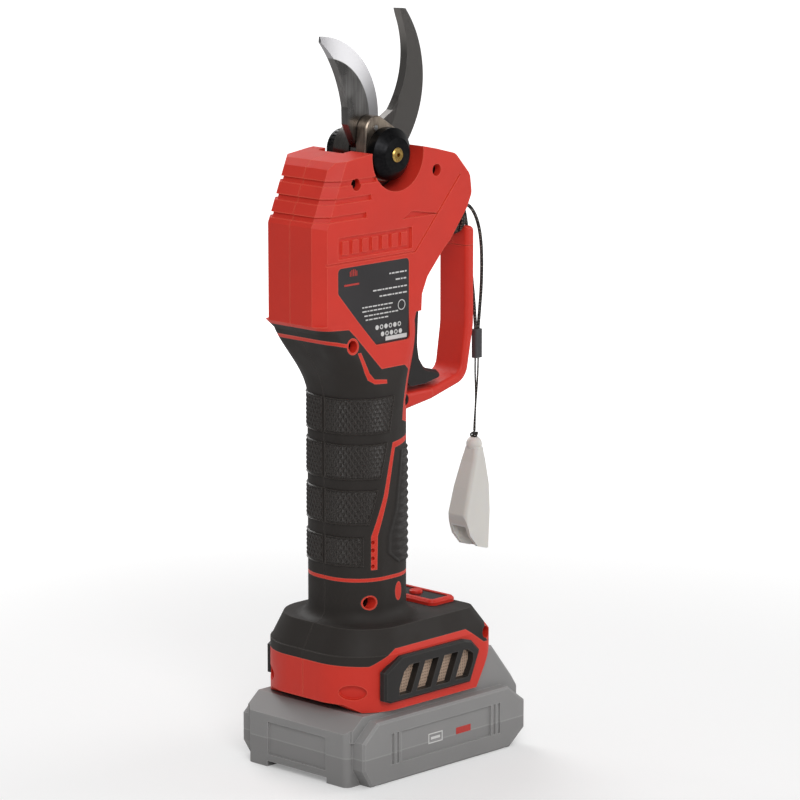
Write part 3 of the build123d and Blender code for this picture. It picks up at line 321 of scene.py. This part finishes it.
def metalMaterial(name):
    look = metalFinish[name]
    material, tree, shader = newMaterial(name, Metallic=1.0)
    ground = effect(tree, "grind", Along=look["along"], Across=look["across"])
    mix = ramp(tree, mathNode(tree, "MULTIPLY", ground["Streak"], ground["Cloud"]), 0.12, 0.4)
    tree.links.new(mixColor(tree, mix, (*look["dark"], 1.0), (*look["color"], 1.0)), shader.inputs["Base Color"])
    rough = look["rough"]
    tree.links.new(ramp(tree, ground["Cloud"], 0.3, 0.7, rough - 0.06, rough + 0.1), shader.inputs["Roughness"])
    bump(tree, shader, ground["Height"], 0.12, 0.0001)
    return material


def zoneGroup():
    # the part of a blade that lies beyond a circle drawn on the XZ plane, in millimetres
    tree, given, result = newGroup("bladeZone", {"X": 0.0, "Z": 0.0, "Radius": 30.0}, ("Mask",))
    place = addNode(tree, "ShaderNodeTexCoord").outputs["Object"]
    split = feed(tree, addNode(tree, "ShaderNodeSeparateXYZ"), Vector=place)
    squares = []
    for axis in ("X", "Z"):
        gap = mathNode(tree, "SUBTRACT", mathNode(tree, "MULTIPLY", split.outputs[axis], 1000.0), given[axis])
        squares.append(mathNode(tree, "MULTIPLY", gap, gap))
    reach = mathNode(tree, "SQRT", mathNode(tree, "ADD", squares[0], squares[1]))
    beyond = mathNode(tree, "SUBTRACT", reach, given["Radius"])
    tree.links.new(ramp(tree, beyond, -0.25, 0.25), result["Mask"])
    return tree


# where the ground edge of each blade begins: centre and radius of the line, and the two tones
bladeZones = {
    "cuttingSteel": {"body": "bladeSteel", "x": -24.0, "z": 286.0,
                     "radius": 27.8, "edge": (0.37, 0.365, 0.375), "rough": 0.32},
    "hookZoned": {"body": "hookSteel", "x": -12.0, "z": 300.5, "radius": 39.5, "edge": (0.20, 0.19, 0.18),
                  "rough": 0.24},
}


def zonedMaterial(name):
    zone = bladeZones[name]
    material = metalMaterial(zone["body"])
    material.name = name
    tree = material.node_tree
    shader = tree.nodes["Principled BSDF"]
    mask = effect(tree, "zone", X=zone["x"], Z=zone["z"], Radius=zone["radius"])["Mask"]
    under = shader.inputs["Base Color"].links[0].from_socket
    tree.links.new(mixColor(tree, mask, under, (*zone["edge"], 1.0)), shader.inputs["Base Color"])
    rough = shader.inputs["Roughness"].links[0].from_socket
    blend = feed(tree, addNode(tree, "ShaderNodeMix"), i0=mask, i2=rough, i3=zone["rough"])
    tree.links.new(blend.outputs[0], shader.inputs["Roughness"])
    return material


def braidMaterial():
    material, tree, shader = newMaterial("cordBraid", Roughness=0.7)
    cloth = effect(tree, "braid", Pitch=700.0)
    tree.links.new(mixColor(tree, cloth["Fleck"], (0.018, 0.016, 0.015, 1.0), (0.30, 0.27, 0.23, 1.0)),
                   shader.inputs["Base Color"])
    bump(tree, shader, cloth["Height"], 0.5, 0.0002)
    return material


def meshMaterial():
    material, tree, shader = newMaterial("meshBronze", Roughness=0.55)
    wire = effect(tree, "weave", Pitch=750.0)
    skin = effect(tree, "spark", Scale=0.5)
    colour = mixColor(tree, skin["Mottle"], (0.56, 0.39, 0.28, 1.0), (0.80, 0.60, 0.46, 1.0))
    # painted shade: the holes between the wires are painted dark brown for the dark hollow behind the mesh
    tree.links.new(mixColor(tree, wire["HoleShade"], colour, (0.24, 0.15, 0.10, 1.0)), shader.inputs["Base Color"])
    bump(tree, shader, wire["Height"], 0.6, 0.0003)
    return material


def coverMaterial():
    material, tree, shader = newMaterial("coverMilky", IOR=1.45)
    skin = effect(tree, "spark", Scale=0.5)
    edge = effect(tree, "edge")
    base = mixColor(tree, skin["Mottle"], (0.80, 0.77, 0.72, 1.0), (0.88, 0.86, 0.82, 1.0))
    # painted highlight: the cover's edges are mixed towards near white
    tree.links.new(mixColor(tree, edge["Mask"], base, (0.95, 0.94, 0.92, 1.0)), shader.inputs["Base Color"])
    tree.links.new(ramp(tree, skin["Mottle"], 0.3, 0.7, 0.3, 0.42), shader.inputs["Roughness"])
    feed(tree, shader, Transmission_Weight=0.06, Subsurface_Weight=0.5, Subsurface_Radius=(0.004, 0.0035, 0.003))
    bump(tree, shader, skin["Height"], 0.1, 0.0001)
    return material


materials = {}


def finish(name):
    if name not in materials:
        special = {"cordBraid": braidMaterial, "meshBronze": meshMaterial, "coverMilky": coverMaterial}
        if name in special:
            materials[name] = special[name]()
        elif name in bladeZones:
            materials[name] = zonedMaterial(name)
        elif name in plasticFinish:
            materials[name] = plasticMaterial(name)
        else:
            materials[name] = metalMaterial(name)
    return materials[name]


nodeFinish = {
    "redPlastic": ("left_housing", "right_housing", "trigger_guard"),
    "redSmooth": ("display_bezel", "power_button"),
    "gripRubber": ("left_grip", "right_grip", "left_base_cover", "right_base_cover"),
    "ventBlack": ("left_vent_grille", "right_vent_grille"),
    "meshBronze": ("left_vent_mesh", "right_vent_mesh"),
    "labelFilm": ("rating_label",),
    "blackSteel": ("housing_screws", "frame_screws", "battery_screws", "pivot_nut"),
    "displayBlack": ("display_panel",),
    "cuttingSteel": ("moving_blade",),
    "hookZoned": ("fixed_blade",),
    "hookSteel": ("head_frame",),
    "guideBronze": ("guide_plate",),
    "pinSteel": ("guide_pin", "trigger_pin", "drive_pin", "pivot_bolt", "lock_washer", "trigger_spring"),
    "capBlack": ("pivot_cap",),
    "brass": ("grease_nipple",),
    "driveSteel": ("drive_nut", "drive_screw", "thrust_bearing", "gearbox_case", "motor_can"),
    "innerBlack": ("trigger", "trigger_switch", "terminal_block", "cell_holder"),
    "boardGreen": ("control_board", "battery_board"),
    "copper": ("terminal_blades", "battery_contacts", "cell_straps"),
    "batteryGrey": ("battery_case", "release_button"),
    "batteryLight": ("battery_top",),
    "cellWrap": ("battery_cells",),
    "cordBraid": ("lanyard_wrap", "string_knot", "strand_long", "strand_short", "string_left", "string_right"),
    "sliderGrey": ("cord_slider",),
    "coverMilky": ("blade_cover",),
}


def paintNodes():
    for name, group in nodeFinish.items():
        for node in group:
            for place in nodes[node].material_slots:
                place.material = finish(name)
    print("finishes:", len(materials), "materials")


# the cord and the strings: the same points as the part's own routes
cordRoutes = {
    "strandLong": {"node": "strand_long", "width": 1.5, "length": 63.0, "points": (
        (61.6, -4.7, 241.4), (64.2, -5.4, 242.3), (67.6, -5.9, 239.2), (70.3, -6.2, 234.2), (72.2, -6.3, 227.6),
        (73.2, -6.3, 218.0), (73.2, -6.1, 204.5), (72.5, -5.7, 193.8), (72.0, -5.2, 184.2))},
    "strandShort": {"node": "strand_short", "width": 1.5, "length": 66.0, "points": (
        (59.4, -4.7, 241.4), (61.6, -3.2, 243.2), (65.2, -1.6, 241.9), (68.0, -0.6, 237.6), (69.5, -0.6, 230.4),
        (69.9, -1.4, 222.0), (69.7, -2.9, 212.4), (69.8, -4.3, 201.4), (70.1, -5.0, 192.4), (70.3, -5.4, 184.2))},
    "stringLeft": {"node": "string_left", "width": 0.8, "length": 34.2, "points": (
        (70.4, -5.1, 172.3), (70.8, -4.6, 166.0), (71.7, -4.2, 158.0), (71.9, -4.1, 151.0), (71.5, -3.8, 144.0),
        (71.3, -3.6, 138.2))},
    "stringRight": {"node": "string_right", "width": 0.8, "length": 34.2, "points": (
        (71.9, -5.5, 172.3), (71.5, -5.8, 166.0), (70.6, -6.0, 158.0), (70.2, -5.6, 151.0), (70.5, -5.0, 144.0),
        (70.8, -4.6, 138.2))},
}


def makeCords():
    ends = [makeKnot(), nodes["blade_cover"]]
    for name, route in cordRoutes.items():
        curve = bpy.data.curves.new(name, "CURVE")
        curve.dimensions = "3D"
        curve.bevel_depth = route["width"] / 2 * mm
        curve.bevel_resolution = 5
        curve.resolution_u = 12
        curve.use_fill_caps = True
        spline = curve.splines.new("NURBS")
        spline.points.add(len(route["points"]) - 1)
        for point, (x, y, z) in zip(spline.points, route["points"]):
            point.co = (x * mm, y * mm, z * mm, 1.0)
        spline.order_u = 3
        spline.use_endpoint_u = True
        curve.materials.append(finish("cordBraid"))
        piece = bpy.data.objects.new(name, curve)
        bpy.context.collection.objects.link(piece)
        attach(piece, "lanyard")
        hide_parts(route["node"])
    print("cords placed")


# helpers for pieces built in mesh code; sizes below are in millimetres
def scaled(points):
    return [(x * mm, y * mm, z * mm) for x, y, z in points]


def place(name, verts, faces, look, body, slotName, smooth=True):
    piece = meshObject(name, scaled(verts), faces, finish(look), smooth)
    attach(piece, body)
    return piece


def castTree(names):
    verts, faces = [], []
    for name in names:
        start = len(verts)
        data = nodes[name].data
        verts += [nodes[name].matrix_world @ v.co for v in data.vertices]
        faces += [[start + i for i in poly.vertices] for poly in data.polygons]
    return BVHTree.FromPolygons(verts, faces)


def gridFaces(columns, rows, start=0):
    faces = []
    for i in range(columns - 1):
        for j in range(rows - 1):
            a = start + i * rows + j
            faces.append((a, a + rows, a + rows + 1, a + 1))
    return faces


def tube(path, radius, sides=8):
    # a round tube along a list of points, with closed ends
    verts, faces = [], []
    normal = None
    for index, point in enumerate(path):
        here = Vector(point)
        ahead = Vector(path[min(index + 1, len(path) - 1)])
        behind = Vector(path[max(index - 1, 0)])
        along = (ahead - behind).normalized()
        if normal is None:
            normal = along.orthogonal().normalized()
        normal = (normal - along * normal.dot(along)).normalized()
        side = along.cross(normal)
        for k in range(sides):
            turn = 2 * pi * k / sides
            verts.append(here + (normal * cos(turn) + side * sin(turn)) * radius)
    for i in range(len(path) - 1):
        for k in range(sides):
            a, b = i * sides + k, i * sides + (k + 1) % sides
            faces.append((a, b, b + sides, a + sides))
    faces.append(tuple(range(sides))[::-1])
    faces.append(tuple(range(len(verts) - sides, len(verts))))
    return verts, faces


# knurled pads of the grip: low and high edge, and where the front edge stands at the top and bottom
knurl = {"rows": ((150.5, 167.0, 2.4, -0.7), (130.5, 146.7, -2.0, -5.8), (110.5, 126.3, -7.0, -11.2),
                  (92.0, 105.5, -13.2, -13.2)),
         "across": 2.3, "along": 3.9, "rise": 0.62, "lift": 0.1, "rim": 0.5, "acrossSteps": 8, "alongSteps": 12,
         "seam": 0.03}
grip = {"radius": 20.5, "flat": 3.0, "corner": 17.5, "sunk": -0.15}
ribs = {"outline": ((142.0, 6.4), (116.0, 2.2), (104.8, -2.3), (97.1, -2.6), (91.6, 4.6)), "step": 0.4,
        "pitch": 3.6, "rise": 0.85, "lift": 0.12, "columns": 52, "frame": 4, "frameRise": 0.25, "fade": 7.0}


def sideAngle(x):
    # turn from the back seam to the point of the grip's skin that stands at this x
    reach = max(0.0, abs(x) - grip["flat"])
    y = grip["flat"] + sqrt(max(0.0, grip["corner"] ** 2 - reach ** 2))
    return atan2(y, -x)


def wave(value):
    # a triangle wave between 0 and 1
    return 1.0 - abs(2.0 * (value % 1.0) - 1.0)


def skinPoint(tree, turn, z, side):
    out = Vector((-cos(turn), side * sin(turn), 0.0))
    start = Vector((0.0, 0.0, z * mm)) + out * 0.06
    hit, normal, _, _ = tree.ray_cast(start, -out, 0.05)
    if normal.dot(out) < 0:
        normal = -normal
    return hit / mm, normal


def castPad(tree, columns, rows, spot, height, side):
    # a patch that lies on the skin, raised by height(i, j)
    verts = []
    for i in range(columns):
        for j in range(rows):
            turn, z = spot(i, j)
            hit, normal = skinPoint(tree, turn, z, side)
            verts.append(hit + normal * height(i, j))
    faces = gridFaces(columns, rows)
    if side > 0:
        faces = [face[::-1] for face in faces]
    return verts, faces


def makeKnurl():
    tree = castTree(("left_grip", "right_grip"))
    # the grid steps divide the diamonds evenly, so that every peak and valley falls on a vertex
    across, along, seam, rim = knurl["acrossSteps"], knurl["alongSteps"], knurl["seam"], knurl["rim"]
    stepTurn, stepZ = knurl["across"] / across / grip["radius"], knurl["along"] / along
    for side, label in ((-1, "left"), (1, "right")):
        for number, (low, high, topX, lowX) in enumerate(knurl["rows"]):
            rows = int((high - low) / stepZ) + 1
            edges = [sideAngle(lowX + (topX - lowX) * j / (rows - 1)) for j in range(rows)]
            columns = int((max(edges) - seam) / stepTurn) + 2
            verts = []
            for i in range(columns):
                for j in range(rows):
                    turn, z = min(seam + i * stepTurn, edges[j]), low + j * stepZ
                    inside = min((turn - seam) * grip["radius"], (edges[j] - turn) * grip["radius"],
                                 j * stepZ, (rows - 1 - j) * stepZ)
                    if inside < 0.05:
                        rise = grip["sunk"]
                    elif inside < rim:
                        rise = knurl["lift"] + knurl["rise"] * 0.8
                    elif inside < 2 * rim:
                        rise = 0.03
                    else:
                        peak = min(wave(i / across + j / along), wave(i / across - j / along))
                        rise = knurl["lift"] + knurl["rise"] * peak
                    hit, normal = skinPoint(tree, turn, z, side)
                    verts.append(hit + normal * rise)
            faces = []
            for face in gridFaces(columns, rows):
                i, j = face[0] // rows, face[0] % rows
                if seam + i * stepTurn < min(edges[j], edges[j + 1]):
                    faces.append(face if side < 0 else face[::-1])
            used = sorted({index for face in faces for index in face})
            newIndex = {index: count for count, index in enumerate(used)}
            faces = [tuple(newIndex[index] for index in face) for face in faces]
            kept = [verts[index] for index in used]
            place(f"knurl_{label}_{number}", kept, faces, "gripKnurl", "tool_body", "grip_rubber", False)
    print("knurled pads made")


def makeRibs():
    tree = castTree(("left_grip", "right_grip"))
    line = ribs["outline"]
    for side, label in ((-1, "left"), (1, "right")):
        rows = int((line[0][0] - line[-1][0]) / ribs["step"])
        columns = ribs["columns"]

        def edgeX(z):
            for (z1, x1), (z0, x0) in zip(line, line[1:]):
                if z >= z0:
                    return x0 + (x1 - x0) * (z - z0) / (z1 - z0)
            return line[-1][1]

        def spot(i, j):
            z = line[-1][0] + (line[0][0] - line[-1][0]) * j / (rows - 1)
            start = sideAngle(edgeX(z))
            return start + (pi - knurl["seam"] - start) * i / (columns - 1), z

        def height(i, j):
            inset = min(i, j, rows - 1 - j)
            if inset == 0:
                return grip["sunk"]
            if i < ribs["frame"]:
                return ribs["lift"] + ribs["frameRise"]
            z = spot(i, j)[1]
            rise = wave(z / ribs["pitch"]) ** 0.8 * min(1.0, (i - ribs["frame"] + 1) / ribs["fade"])
            return ribs["lift"] + ribs["rise"] * rise

        pad = castPad(tree, columns, rows, spot, height, side)
        place(f"ribs_{label}", *pad, "gripRibs", "tool_body", "grip_rubber")
    print("ribbed pads made")


# the winding of cord at the end of the guard's bar
winding = {"back": 50.9, "end": 59.6, "height": 235.0, "radius": 5.6, "cord": 1.1, "pitch": 2.05,
           "cap": 82.0, "perTurn": 20, "capSteps": 60}
hitch = {"x": 59.4, "y": -0.6, "z": 235.4, "wide": 6.4, "tall": 7.0, "from": -35.0, "turn": 250.0, "drift": 0.06,
         "cord": 0.85, "steps": 40}
knotShape = {"middle": (71.1, -4.1, 136.6), "size": 0.62, "squash": 0.8, "deep": 0.85, "cord": 0.42, "steps": 72}


def makeWinding():
    back, end, height = winding["back"], winding["end"], winding["height"]
    radius, pitch = winding["radius"], winding["pitch"]
    path = []
    turns = (end - back) / pitch
    steps = int(turns * winding["perTurn"])
    for index in range(steps + 1):
        angle = 2 * pi * turns * index / steps
        x = back + (end - back) * index / steps
        path.append((x, radius * cos(angle), height + radius * sin(angle)))
    for index in range(1, winding["capSteps"] + 1):
        lean = radians(winding["cap"]) * index / winding["capSteps"]
        angle = 2 * pi * turns + lean * radius * 2 * pi / pitch
        ring = radius * cos(lean)
        path.append((end + radius * sin(lean), ring * cos(angle), height + ring * sin(angle)))
    coil = place("cord_winding", *tube(path, winding["cord"], 10), "cordBraid", "tool_body", "cord_braid")
    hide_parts("lanyard_wrap")
    # the hitch that the two strands come out of
    loop = []
    for index in range(hitch["steps"] + 1):
        angle = radians(hitch["from"] + hitch["turn"] * index / hitch["steps"])
        loop.append((hitch["x"] + hitch["drift"] * index, hitch["y"] - hitch["wide"] * cos(angle),
                     hitch["z"] + hitch["tall"] * sin(angle)))
    place("cord_hitch", *tube(loop, hitch["cord"], 10), "cordBraid", "tool_body", "cord_braid")
    print("winding made")


def makeKnot():
    # a small overhand knot in place of the ball at the cover's ring
    middle, size = Vector(knotShape["middle"]), knotShape["size"]
    path = []
    for index in range(knotShape["steps"] + 1):
        t = 2 * pi * index / knotShape["steps"]
        y = size * (cos(t) - 2 * cos(2 * t)) * knotShape["squash"]
        path.append(middle + Vector((size * (sin(t) + 2 * sin(2 * t)), y, -knotShape["deep"] * sin(3 * t))))
    knot = place("tied_knot", *tube(path, knotShape["cord"]), "cordBraid", "lanyard", "slider_grey")
    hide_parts("string_knot")
    return knot


# print on the rating plate: words as short bars, plain round marks and one blank strip
plate = {"y": -18.0, "proud": 0.07,
         "words": ((219.4, 2.0, 12.8, 1.0), (216.4, 6.0, 12.8, 1.0), (213.0, -8.0, 12.8, 1.0), (210.2, -4.0, 12.8, 1.0),
                   (206.4, -14.6, 5.0, 0.9), (204.6, -14.6, 3.0, 0.9), (202.6, -13.4, 7.4, 0.9), (200.8, -12.6, 1.6, 0.9)),
         "marks": ((197.0, -5.6, 6, 2.75), (193.8, -2.2, 5, 2.75)),
         "markRadius": 1.05, "markHole": 0.62, "strip": (-0.4, 12.8, 190.6, 192.4), "sign": (9.6, 205.2, 2.3, 1.95),
         "rays": (-22.2, 221.2, 5), "badgeBar": (-25.6, 217.2, 9.0, 0.8)}


def slabOn(verts, faces, x0, x1, z0, z1, y, proud):
    a = len(verts)
    for yy in (y + 0.03, y - proud):
        verts.extend(((x0, yy, z0), (x1, yy, z0), (x1, yy, z1), (x0, yy, z1)))
    faces.append((a + 4, a + 5, a + 6, a + 7))
    for k in range(4):
        faces.append((a + k, a + (k + 1) % 4, a + 4 + (k + 1) % 4, a + 4 + k))


def discOn(verts, faces, x, z, radius, y, proud, hole=0.0):
    count = 20
    a = len(verts)
    for yy in (y + 0.03, y - proud):
        for r in (radius, hole):
            for k in range(count):
                turn = 2 * pi * k / count
                verts.append((x + r * cos(turn), yy, z + r * sin(turn)))
    for k in range(count):
        n = (k + 1) % count
        outer, inner, front, core = a + k, a + count + k, a + 2 * count + k, a + 3 * count + k
        oN, iN, fN, cN = a + n, a + count + n, a + 2 * count + n, a + 3 * count + n
        faces.append((outer, oN, fN, front))
        faces.append((front, fN, cN, core))
        if hole:
            faces.append((inner, core, cN, iN))


def makePlatePrint():
    y, proud = plate["y"] + 0.1, plate["proud"]
    verts, faces = [], []
    # bars of uneven length stand for words
    for row, (z, low, high, tall) in enumerate(plate["words"]):
        x, count = low, 0
        while x < high - 0.6:
            width = 1.1 + 1.5 * ((row * 7 + count * 5) % 4) / 3
            slabOn(verts, faces, x, min(x + width, high), z, z + tall * 0.62, y, proud)
            x += width + 0.55
            count += 1
    for z, x, count, gap in plate["marks"]:
        for index in range(count):
            hole = plate["markHole"] if index % 2 else 0.0
            discOn(verts, faces, x + gap * index, z, plate["markRadius"], y, proud, hole)
    slabOn(verts, faces, *plate["strip"], y, proud)
    x, z, radius, hole = plate["sign"]
    discOn(verts, faces, x, z, radius, y, proud, hole)
    place("plate_print", verts, faces, "labelInk", "tool_body", "label_film", False)
    verts, faces = [], []
    x, z, count = plate["rays"]
    for index in range(count):
        top = z + 1.4 + 1.6 * sin(pi * (index + 1) / (count + 1))
        slabOn(verts, faces, x + index, x + index + 0.5, z, top, y, proud)
    x, z, wide, tall = plate["badgeBar"]
    slabOn(verts, faces, x, x + wide, z, z + tall, y, proud)
    place("plate_badge", verts, faces, "labelRed", "tool_body", "label_film", False)
    print("plate printed")


# print on the battery's near side: one outlined pill, one red bar and one pale bar
packMarks = {"y": -37.3, "z": 14.4, "pill": (6.5, 15.5), "red": (24.2, 33.6), "proud": 0.07}


def makePackPrint():
    y, z, proud = packMarks["y"], packMarks["z"], packMarks["proud"]
    verts, faces = [], []
    low, high = packMarks["pill"]
    for z0, z1 in ((z - 2.3, z - 1.8), (z + 1.8, z + 2.3)):
        slabOn(verts, faces, low, high, z0, z1, y, proud)
    for x0, x1 in ((low, low + 0.5), (high - 0.5, high)):
        slabOn(verts, faces, x0, x1, z - 1.8, z + 1.8, y, proud)
    slabOn(verts, faces, low + 1.6, high - 1.6, z - 0.6, z + 0.6, y, proud)
    place("pack_print", verts, faces, "labelInk", "battery_pack", "battery_grey", False)
    verts, faces = [], []
    low, high = packMarks["red"]
    slabOn(verts, faces, low, high, z - 1.5, z + 1.5, y, proud)
    place("pack_badge", verts, faces, "labelRed", "battery_pack", "battery_grey", False)
    print("pack printed")


makeCamera()
makeLights()
makeCords()
paintNodes()
makeKnurl()
makeRibs()
makeWinding()
makePlatePrint()
makePackPrint()

# a pale floor that fades into the white backdrop
floorLook = {"reach": 6.0, "shade": 0.8, "glow": 0.24, "near": 0.22, "far": 1.1, "haze": 1.0}
floorMaterial, floorTree, floorShader = newMaterial("floor", Roughness=0.7)
tone = floorLook["shade"]
centre = feed(floorTree, addNode(floorTree, "ShaderNodeVectorMath", operation="LENGTH"),
              i0=addNode(floorTree, "ShaderNodeTexCoord").outputs["Object"])
glow = ramp(floorTree, centre.outputs["Value"], floorLook["near"], floorLook["far"],
            floorLook["glow"], floorLook["haze"])
seen = addNode(floorTree, "ShaderNodeLightPath").outputs["Is Camera Ray"]
feed(floorTree, floorShader, Base_Color=(tone, tone, tone, 1.0), Emission_Color=(1.0, 1.0, 1.0, 1.0),
     Emission_Strength=mathNode(floorTree, "MULTIPLY", seen, glow))
reach = floorLook["reach"]
corners = [(-reach, -reach, 0), (reach, -reach, 0), (reach, reach, 0), (-reach, reach, 0)]
floor = meshObject("floor", corners, [(0, 1, 2, 3)], floorMaterial)
